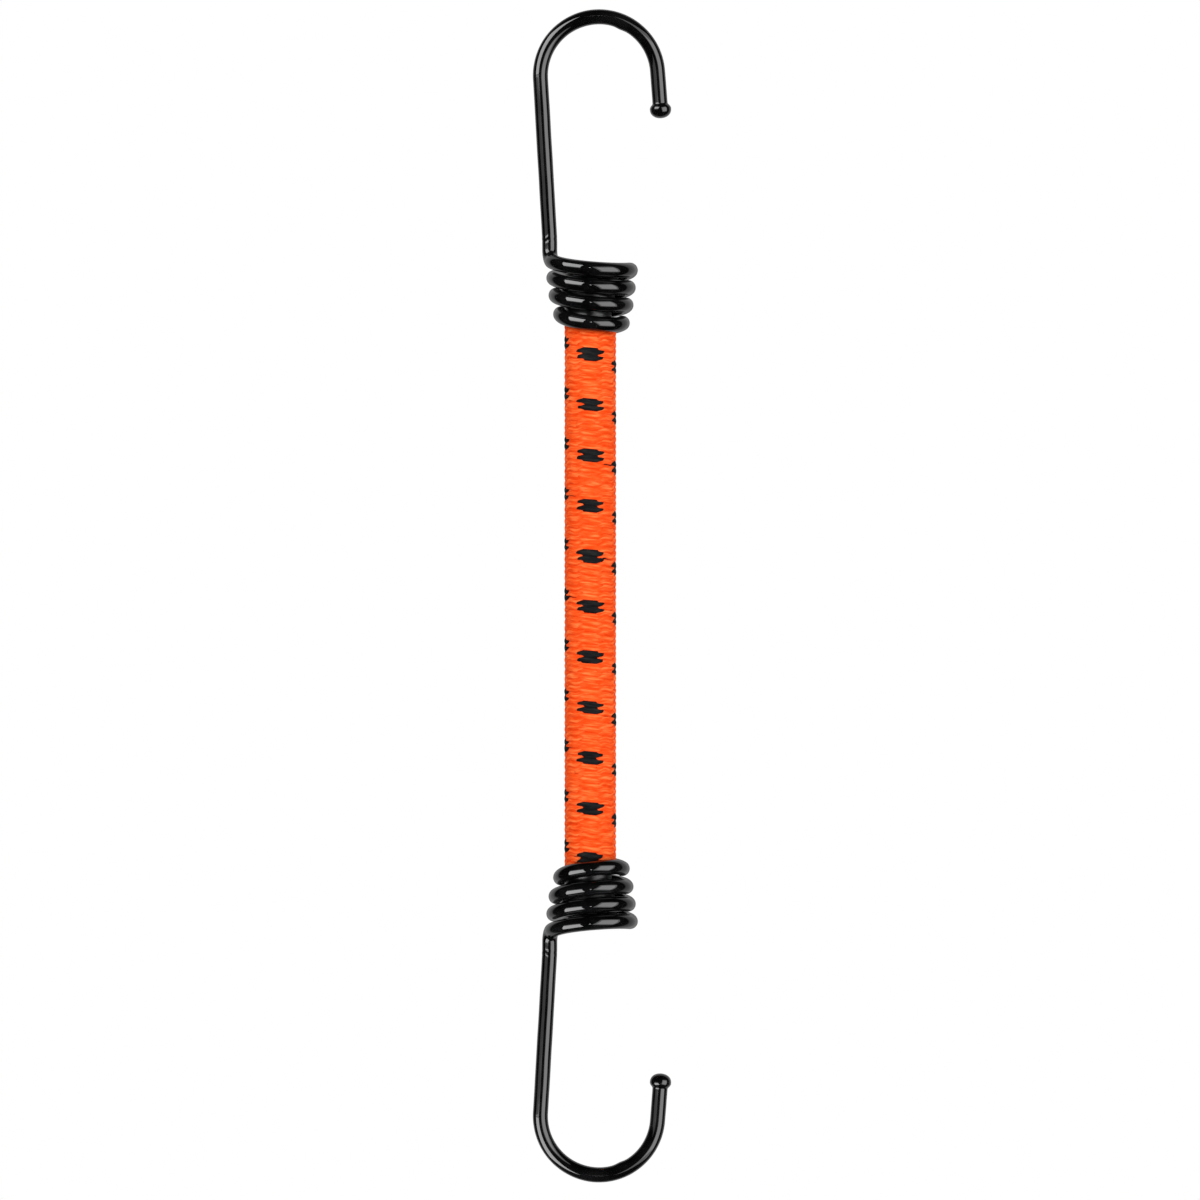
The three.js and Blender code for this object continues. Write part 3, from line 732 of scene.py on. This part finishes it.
def make_shade_sleeve(name, hook, cord, lower):
    """A thin black glossy sleeve over the cord's cover and its clamp inside the coil: a dark sheet that paints
    shade on the cord where it shows between the turns. It is an outer and an inner side turned round the cord's
    axis, open at the cut end. Its lower edge follows the gripping turn. Its radius is the greater of the cover's
    and the clamp's, with a ripple, and one wall more outside."""
    sides, steps = 48, 70
    wall, gap, clamp_gap, clamp_half = 0.13 * MM, 0.05 * MM, 0.02 * MM, 0.62 * MM
    ripple, ripple_length, above, below = 0.04 * MM, 0.6 * MM, 0.1 * MM, 0.2 * MM
    angle = TURN * np.arange(sides) / sides
    top, bottom = cord_top(hook) + above, last_turn_height(hook, angle) - below
    z = top + (bottom - top) * np.linspace(0, 1, steps)[:, None]
    cover = cover_radius(hook, cord, z, angle) + gap
    over_clamp = np.clip(1 - ((z - coil_height(hook, CLAMP_TURN)) / clamp_half) ** 2, 0, 1)
    clamp = cord.clamp_radius + clamp_gap + cord.clamp_wire / 2 * np.sqrt(over_clamp)
    inner = np.maximum(cover, np.where(over_clamp > 0, clamp, 0))
    inner += ripple * (1 + waves(17, 6, (z / ripple_length, 3), (angle, 4)))
    radius = np.concatenate([inner + wall, inner[::-1]])
    height = np.concatenate([z, z[::-1]])
    x = CORD_AXIS_X + radius * np.cos(angle)
    rings = np.stack([x, radius * np.sin(angle), height], axis=-1)
    if lower:
        rings = mirrored(rings)
    return add_mesh(name, rings.reshape(-1, 3), ring_faces(2 * steps, sides, closed=True)[0])


# Materials


def new_material(name):
    """A node material, its node tree and its Principled shader."""
    material = bpy.data.materials.new(name)
    material.use_nodes = True
    return material, material.node_tree, material.node_tree.nodes["Principled BSDF"]


def feed(tree, node, name, value):
    """Links a socket to a node's input, or sets the input where the value is a plain one."""
    if isinstance(value, bpy.types.NodeSocket):
        tree.links.new(value, node.inputs[name])
    else:
        node.inputs[name].default_value = value


def add_node(tree, kind, inputs=None, **settings):
    """A node with its settings, and its inputs fed by name or number."""
    node = tree.nodes.new("ShaderNode" + kind)
    for name, value in settings.items():
        setattr(node, name, value)
    for name, value in (inputs or {}).items():
        feed(tree, node, name, value)
    return node


def texture_place(tree, scale, uv=False):
    """Texture coordinates, from the piece's UV map or in its own metres, scaled to a pattern."""
    place = add_node(tree, "TexCoord").outputs["UV" if uv else "Object"]
    return add_node(tree, "Mapping", {"Scale": scale, "Vector": place}).outputs["Vector"]


def noise(tree, place, detail=3.0, roughness=0.55):
    """A noise pattern whose size is set by its coordinates."""
    inputs = {"Scale": 1, "Detail": detail, "Roughness": roughness, "Vector": place}
    return add_node(tree, "TexNoise", inputs).outputs["Fac"]


def mapped(tree, value, low, high, to_low, to_high):
    """A value stretched from one range to another, and held there."""
    inputs = {"From Min": low, "From Max": high, "To Min": to_low, "To Max": to_high}
    return add_node(tree, "MapRange", {**inputs, "Value": value}).outputs["Result"]


def blended(tree, share, first, second):
    """A colour between two colours, by a share from 0 to 1."""
    node = add_node(tree, "Mix", {"Factor": share}, data_type="RGBA")
    colours = [number for number, socket in enumerate(node.inputs) if socket.type == "RGBA"]
    for number, value in zip(colours, (first, second)):
        feed(tree, node, number, value if isinstance(value, bpy.types.NodeSocket) else (*value, 1))
    return next(socket for socket in node.outputs if socket.type == "RGBA")


def bumped(tree, height, distance, strength):
    """A normal bent by a height pattern."""
    inputs = {"Strength": strength, "Distance": distance, "Height": height}
    return add_node(tree, "Bump", inputs).outputs["Normal"]


def summed(tree, first, second, weight):
    """first + second x weight."""
    inputs = {0: second, 1: weight, 2: first}
    return add_node(tree, "Math", inputs, operation="MULTIPLY_ADD").outputs[0]


def arithmetic(tree, operation, value, other=0.0):
    """One arithmetic step on a value, with a number or another value."""
    return add_node(tree, "Math", {0: value, 1: other}, operation=operation).outputs[0]


def shaded(base, factor):
    """A colour made darker or lighter by one factor."""
    return tuple(min(1.0, channel * factor) for channel in base)


def coloured(tree, shader, pattern, reach, first, second):
    """Gives the shader a colour between two colours by a pattern, over a reach about its middle."""
    share = mapped(tree, pattern, 0.5 - reach, 0.5 + reach, 0, 1)
    feed(tree, shader, "Base Color", blended(tree, share, first, second))


def roughened(tree, shader, pattern, smoothest, roughest):
    """Gives the shader a roughness between two values by a pattern."""
    feed(tree, shader, "Roughness", mapped(tree, pattern, 0.3, 0.7, smoothest, roughest))


def vinyl_material(name, hook, roughest):
    """Glossy dipped vinyl: near black, faintly cloudy, with a slow unevenness in its gloss."""
    material, tree, shader = new_material(name)
    base = hook.coat_colour
    cloud = noise(tree, texture_place(tree, (260, 260, 260)), 1)
    coloured(tree, shader, cloud, 0.15, shaded(base, 0.6), shaded(base, 1.5))
    roughened(tree, shader, cloud, roughest * 0.6, roughest)
    feed(tree, shader, "Normal", bumped(tree, cloud, 0.012 * MM, 0.3))
    feed(tree, shader, "IOR", 1.55)
    return material


def metal_material(name, base, stretch, rough_low, rough_high):
    """Bare metal with marks drawn out along one way and a mottled gloss."""
    material, tree, shader = new_material(name)
    drawn = noise(tree, texture_place(tree, stretch, uv=True), 3)
    mottle = noise(tree, texture_place(tree, (900, 900, 900)), 4)
    coloured(tree, shader, mottle, 0.2, shaded(base, 0.7), shaded(base, 1.15))
    roughened(tree, shader, mottle, rough_low, rough_high)
    feed(tree, shader, "Normal", bumped(tree, drawn, 0.02 * MM, 0.6))
    feed(tree, shader, "Metallic", 1)
    return material


def yarn_material(name, base, light, dark):
    """Filament yarn: lighter streaks along it, partly a painted fibre sheen, and painted shade towards its edges
    and where it dives under."""
    material, tree, shader = new_material(name)
    threads = noise(tree, texture_place(tree, (700, 34, 1), uv=True), 3, 0.6)
    soft = noise(tree, texture_place(tree, (260, 5, 1), uv=True), 2)
    patch = noise(tree, texture_place(tree, (330, 330, 520)), 3)
    streak = summed(tree, soft, threads, 0.45)
    toned = blended(tree, mapped(tree, streak, 0.5, 0.72, 0, 1), dark, base)
    # Lighter streaks along the fibres: partly the yarn's own tone, partly a painted sheen.
    lit = blended(tree, mapped(tree, streak, 0.72, 0.92, 0, 1), toned, light)
    # Painted shade towards the yarn's edges, where the gaps between the yarns lie in shade, made ragged by a slow
    # patch pattern.
    round_yarn = add_node(tree, "SeparateXYZ", {0: texture_place(tree, (1, 1, 1), uv=True)})
    off_middle = arithmetic(tree, "SUBTRACT", round_yarn.outputs["Y"], YARN_TOP_SHARE)
    edge_shade_mask = summed(tree, arithmetic(tree, "ABSOLUTE", off_middle), patch, 0.16)
    edge_shaded = blended(tree, mapped(tree, edge_shade_mask, 0.22, 0.35, 0, 0.9), lit, dark)
    # Painted shade where the yarn dives under its neighbours, by how far it lies on top.
    lift = add_node(tree, "Attribute", attribute_name="lift")
    under_shade_mask = summed(tree, lift.outputs["Fac"], patch, 0.5)
    toned = blended(tree, mapped(tree, under_shade_mask, 0.55, 0.95, 0.65, 0), edge_shaded, dark)
    feed(tree, shader, "Base Color", toned)
    feed(tree, shader, "Roughness", 0.7)
    feed(tree, shader, "Specular IOR Level", 0.03)
    relief = summed(tree, threads, soft, 0.6)
    feed(tree, shader, "Normal", bumped(tree, relief, 0.10 * MM, 0.8))
    return material


def rubber_material(cord):
    """Natural rubber: cloudy tan with a dusty, dull skin."""
    material, tree, shader = new_material("natural_rubber")
    base = cord.rubber_colour
    cloud = noise(tree, texture_place(tree, (420, 420, 420)), 4)
    grit = noise(tree, texture_place(tree, (3000, 3000, 3000)), 2)
    coloured(tree, shader, cloud, 0.2, shaded(base, 0.78), shaded(base, 1.12))
    roughened(tree, shader, grit, 0.65, 0.85)
    feed(tree, shader, "Normal", bumped(tree, grit, 0.03 * MM, 0.5))
    return material


def floor_material():
    """A pale matt floor with a barely seen mottle."""
    material, tree, shader = new_material("pale_floor")
    cloud = noise(tree, texture_place(tree, (6, 6, 6)), 3)
    coloured(tree, shader, cloud, 0.2, (0.86, 0.86, 0.86), (0.9, 0.9, 0.9))
    feed(tree, shader, "Roughness", 0.7)
    return material


# Operators


def make_ends(kind, make, sizes, material, body, node=None):
    """A piece at each end of the cord, made by a function from sizes, with its material and body, and the CAD node
    that it stands for where there is one."""
    for end, lower in (("upper", False), ("lower", True)):
        piece = make(f"{end}_{kind}", *sizes, lower)
        piece.data.materials.append(material)
        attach(piece, f"{end}_{body}")
        if node:
            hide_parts(f"{end}_{node}")


class BUNGEE_OT_hook_coats(bpy.types.Operator):
    """Makes the vinyl coat of both hooks"""

    bl_idname = "bungee.hook_coats"
    bl_label = "Hook Coats"

    def execute(self, context):
        hook = context.scene.bungee_hook
        vinyl = vinyl_material("gloss_black_vinyl", hook, 0.06)
        make_ends("hook_coat", make_coat, [hook], vinyl, "hook", "hook_coating")
        return {"FINISHED"}


class BUNGEE_OT_hook_steel(bpy.types.Operator):
    """Makes the steel wire inside both hooks"""

    bl_idname = "bungee.hook_steel"
    bl_label = "Hook Steel"

    def execute(self, context):
        hook = context.scene.bungee_hook
        steel = metal_material("drawn_steel", hook.steel_colour, (150, 60, 1), 0.28, 0.42)
        make_ends("hook_steel", make_steel, [hook], steel, "hook", "hook_wire")
        return {"FINISHED"}


class BUNGEE_OT_cord_clamps(bpy.types.Operator):
    """Makes the clamp on both ends of the cord"""

    bl_idname = "bungee.cord_clamps"
    bl_label = "Cord Clamps"

    def execute(self, context):
        hook, cord = context.scene.bungee_hook, context.scene.bungee_cord
        zinc = metal_material("zinc_wire", cord.clamp_colour, (400, 12, 1), 0.32, 0.5)
        sizes = hook, cord
        make_ends("clamp_ring", make_clamp, sizes, zinc, "cord_end", "cord_clamp")
        return {"FINISHED"}


class BUNGEE_OT_end_shade_sleeves(bpy.types.Operator):
    """Makes the black sleeve on both ends of the cord, which paints shade on the cord inside the coils"""

    bl_idname = "bungee.end_dips"
    bl_label = "End Shade Sleeves"

    def execute(self, context):
        hook, cord = context.scene.bungee_hook, context.scene.bungee_cord
        vinyl = vinyl_material("black_dip", hook, 0.45)
        make_ends("end_dip", make_shade_sleeve, [hook, cord], vinyl, "cord_end")
        return {"FINISHED"}


def cord_zones(hook, cord):
    """The cord's three stretches, from the top: name, upper and lower end, where the blend starts
    and ends, and the two bodies it blends between."""
    top, mouth = cord_top(hook), mouth_height(hook)
    bent = mouth - cord.bend_length
    low = 2 * MIDDLE_Z
    return (
        ("upper", top, bent, mouth, bent, "upper_cord_end", "cord_cover"),
        ("middle", bent, low - bent, bent, low - bent, "cord_cover", "cord_core"),
        ("lower", low - bent, low - top, low - bent, low - mouth, "cord_core", "lower_cord_end"),
    )


def blend_zone(piece, start, end, first, second):
    """Bakes a piece of the cord's placement into its mesh."""
    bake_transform(piece)


class BUNGEE_OT_rubber_core(bpy.types.Operator):
    """Makes the rubber strands inside the cord"""

    bl_idname = "bungee.rubber_core"
    bl_label = "Rubber Core"

    def execute(self, context):
        hook, cord = context.scene.bungee_hook, context.scene.bungee_cord
        rubber = rubber_material(cord)
        for name, top, bottom, *blend in cord_zones(hook, cord):
            core = make_strands(f"rubber_core_{name}", hook, cord, top, bottom)
            core.data.materials.append(rubber)
            blend_zone(core, *blend)
            if name == "middle":
                strands = [n for n in frame["nodes"] if n.startswith("rubber_strand_")]
                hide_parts(*strands)
        return {"FINISHED"}


class BUNGEE_OT_braided_cover(bpy.types.Operator):
    """Makes the cover's sixteen yarns"""

    bl_idname = "bungee.braided_cover"
    bl_label = "Braided Cover"

    def execute(self, context):
        hook, cord = context.scene.bungee_hook, context.scene.bungee_cord
        orange = yarn_material("orange_yarn", cord.yarn_colour, cord.yarn_streaks_and_sheen, cord.yarn_dark_and_shade)
        black = yarn_material(
            "tracer_yarn", cord.tracer_colour, cord.tracer_streaks_and_sheen, cord.tracer_dark_and_shade
        )
        made = {}
        for name, top, bottom, *blend in cord_zones(hook, cord):
            if name == "upper":
                top -= YARN_RECESS
            if name == "lower":
                bottom += YARN_RECESS
            made[name] = yarns = make_yarns(f"braided_cover_{name}", hook, cord, top, bottom)
            yarns.data.materials.append(orange)
            yarns.data.materials.append(black)
            blend_zone(yarns, *blend)
        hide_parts("braided_sheath")
        going = [made["upper"], made["lower"]]
        going += [bpy.data.objects[f"rubber_core_{name}"] for name in made]
        mouth_height(hook)
        return {"FINISHED"}


def soft_box(name, azimuth, elevation, roll, spread, width, height, radiance, distance):
    """A square-cornered area light that faces the cord's middle, turned by its roll about its own
    middle. Azimuth is to the right of the camera as the cord sees it. Angles are in degrees.

    Its power is radiance x area x pi, which keeps it as bright when its size changes. With a grid
    that lets through a cone of half angle a, that is multiplied by (tan a - a) / tan a.
    """
    azimuth, elevation, roll, spread = map(math.radians, (azimuth, elevation, roll, spread))
    light = bpy.data.lights.new(name, "AREA")
    light.shape = "RECTANGLE"
    light.size, light.size_y = width, height
    light.energy = radiance * width * height * math.pi
    if spread < math.pi:
        light.spread = spread
        light.energy *= 1 - spread / 2 / math.tan(spread / 2)
    lamp = bpy.data.objects.new(name, light)
    flat = math.cos(elevation)
    way = [math.sin(azimuth) * flat, -math.cos(azimuth) * flat, math.sin(elevation)]
    lamp.location = np.array(way) * distance + [0, 0, MIDDLE_Z]
    facing = Matrix.Rotation(azimuth, 4, "Z") @ Matrix.Rotation(math.pi / 2 - elevation, 4, "X")
    lamp.rotation_euler = (facing @ Matrix.Rotation(roll, 4, "Z")).to_euler()
    lamp.visible_camera = False
    bpy.context.scene.collection.objects.link(lamp)
    return lamp


def light_only(lamps, name, pieces, state):
    """Lets the lamps light only these pieces, or all but these, by the state of the group."""
    group = bpy.data.collections.new(name)
    for piece in pieces:
        group.objects.link(piece)
    for member in group.collection_objects:
        member.light_linking.link_state = state
    for lamp in lamps:
        lamp.light_linking.receiver_collection = group


def white_surround(scene):
    """A world that is white where the camera sees it, and lights the cord from behind as a lit
    white backdrop does, with the room dark in front and above.

    Y and X are those of the way to the surround. The backdrop's light starts where Y + 0.09 X
    passes its edge, grows further in, and falls again straight behind the cord.
    """
    world = bpy.data.worlds.new("white_surround")
    scene.world = world
    world.use_nodes = True
    tree = world.node_tree
    tree.nodes.clear()
    way = add_node(tree, "SeparateXYZ", {0: add_node(tree, "TexCoord").outputs["Generated"]})
    behind, right = way.outputs["Y"], way.outputs["X"]
    edge = mapped(tree, summed(tree, behind, right, 0.09), 0.33, 0.45, 0.0, 0.62)
    further_in = mapped(tree, behind, 0.45, 0.8, 1.0, 1.3)
    straight_behind = mapped(tree, behind, 0.85, 1.0, 1.0, 0.3)
    backdrop = arithmetic(tree, "MULTIPLY", edge, further_in)
    backdrop = arithmetic(tree, "MULTIPLY", backdrop, straight_behind)
    lit = add_node(tree, "Background", {"Strength": backdrop}).outputs[0]
    seen = add_node(tree, "Background", {"Color": (1, 1, 1, 1)}).outputs[0]
    camera_ray = add_node(tree, "LightPath").outputs["Is Camera Ray"]
    mix = add_node(tree, "MixShader", {"Fac": camera_ray, 1: lit, 2: seen}).outputs[0]
    add_node(tree, "OutputWorld", {"Surface": mix})


# Name, azimuth, elevation, roll and spread in degrees, width and height in metres, radiance.
# Two lamps in one plane don't add up in a mirror, so the core of the ends' box is turned a little.
CORD_LAMPS = (
    ("right_box", 42, -2, 16, 180, 1.45, 1.9, 3.2),
    ("right_core", 42, -2, 16, 180, 0.75, 1.9, 1.9),
    ("left_box", -47, 30, 0, 180, 1.0, 0.90, 6.1),
)
END_LAMPS = (
    ("right_box", 44, 7, 14, 180, 1.32, 1.7, 1.9),
    ("right_core", 44.5, 7, 14, 180, 1.0, 1.1, 2.3),
    ("left_box", -47, 29.6, 0, 180, 1.0, 0.90, 7.0),
    ("left_skirt_high", -47, 8.3, 0, 180, 1.0, 0.03, 3.7),
    ("left_skirt_middle", -47, 6.8, 0, 180, 1.0, 0.03, 1.28),
    ("left_skirt", -47, 2.5, 0, 180, 1.0, 0.15, 0.8),
    ("front_spot", 0, 18, 0, 9, 0.10, 0.10, 40.0),
)
# The last of these is the black sleeve that paints shade on the cord inside each coil.
END_PIECES = ("hook_coat", "hook_steel", "clamp_ring", "end_dip")


class BUNGEE_OT_stage(bpy.types.Operator):
    """Sets up the camera, the soft boxes and the floor. Each hook has lights of its own, of which
    the lower ones mirror the upper ones, and so has the cord"""

    bl_idname = "bungee.stage"
    bl_label = "Stage"

    def execute(self, context):
        scene = context.scene
        sizes = scene.bungee_stage
        camera = bpy.data.cameras.new("camera")
        camera.sensor_width = 36
        camera.lens = camera.sensor_width * sizes.camera_distance / sizes.frame_width
        camera.clip_end = 20
        eye = bpy.data.objects.new("camera", camera)
        eye.location = (sizes.frame_x, -sizes.camera_distance, sizes.frame_z)
        eye.rotation_euler = (math.pi / 2, 0, 0)
        scene.collection.objects.link(eye)
        scene.camera = eye
        scene.view_settings.view_transform = "Standard"
        white_surround(scene)
        distance = sizes.panel_distance
        upper = [bpy.data.objects["upper_" + name] for name in END_PIECES]
        lower = [bpy.data.objects["lower_" + name] for name in END_PIECES]
        for place, up, rows, pieces, state in (
            ("upper", 1, END_LAMPS, upper, "INCLUDE"),
            ("lower", -1, END_LAMPS, lower, "INCLUDE"),
            ("cord", 1, CORD_LAMPS, upper + lower, "EXCLUDE"),
        ):
            lamps = []
            for name, azimuth, rise, roll, spread, *rest in rows:
                angles = azimuth, up * rise, up * roll, spread
                lamps.append(soft_box(f"{place}_{name}", *angles, *rest, distance))
            light_only(lamps, f"{place}_light", pieces, state)
        sides = 64
        rim = TURN * np.arange(sides) / sides
        disc = np.stack([np.cos(rim), np.sin(rim), 0 * rim], axis=-1) * sizes.floor_radius
        disc = disc + [0, 0, MIDDLE_Z - sizes.floor_drop]
        mesh = bpy.data.meshes.new("floor")
        mesh.from_pydata(disc.tolist(), [], [list(range(sides))])
        floor = bpy.data.objects.new("floor", mesh)
        floor.data.materials.append(floor_material())
        floor.visible_glossy = False
        floor.visible_shadow = False  # the lower lamps stand below it
        scene.collection.objects.link(floor)
        return {"FINISHED"}


class BUNGEE_PT_panel(bpy.types.Panel):
    """Lists the steps that build the cord"""

    bl_label = "Bungee Cord"
    bl_space_type = "VIEW_3D"
    bl_region_type = "UI"
    bl_category = "Bungee"

    def draw(self, context):
        for operator in OPERATORS:
            self.layout.operator(operator.bl_idname)
        for group in ("bungee_hook", "bungee_cord", "bungee_stage"):
            sizes = getattr(context.scene, group)
            box = self.layout.box()
            for name in sizes.__annotations__:
                box.prop(sizes, name)


OPERATORS = (
    BUNGEE_OT_rubber_core,
    BUNGEE_OT_braided_cover,
    BUNGEE_OT_hook_coats,
    BUNGEE_OT_hook_steel,
    BUNGEE_OT_cord_clamps,
    BUNGEE_OT_end_shade_sleeves,
    BUNGEE_OT_stage,
)
GROUPS = (HookSizes, CordSizes, StageSizes)


def register():
    for each in (*GROUPS, *OPERATORS, BUNGEE_PT_panel):
        bpy.utils.register_class(each)
    bpy.types.Scene.bungee_hook = PointerProperty(type=HookSizes)
    bpy.types.Scene.bungee_cord = PointerProperty(type=CordSizes)
    bpy.types.Scene.bungee_stage = PointerProperty(type=StageSizes)


def unregister():
    del bpy.types.Scene.bungee_hook, bpy.types.Scene.bungee_cord, bpy.types.Scene.bungee_stage
    for each in reversed((*GROUPS, *OPERATORS, BUNGEE_PT_panel)):
        bpy.utils.unregister_class(each)


def main():
    register()
    bpy.ops.bungee.rubber_core()
    bpy.ops.bungee.braided_cover()
    bpy.ops.bungee.hook_coats()
    bpy.ops.bungee.hook_steel()
    bpy.ops.bungee.cord_clamps()
    bpy.ops.bungee.end_dips()
    bpy.ops.bungee.stage()
    bpy.context.view_layer.update()


if __name__ == "__main__":
    main()
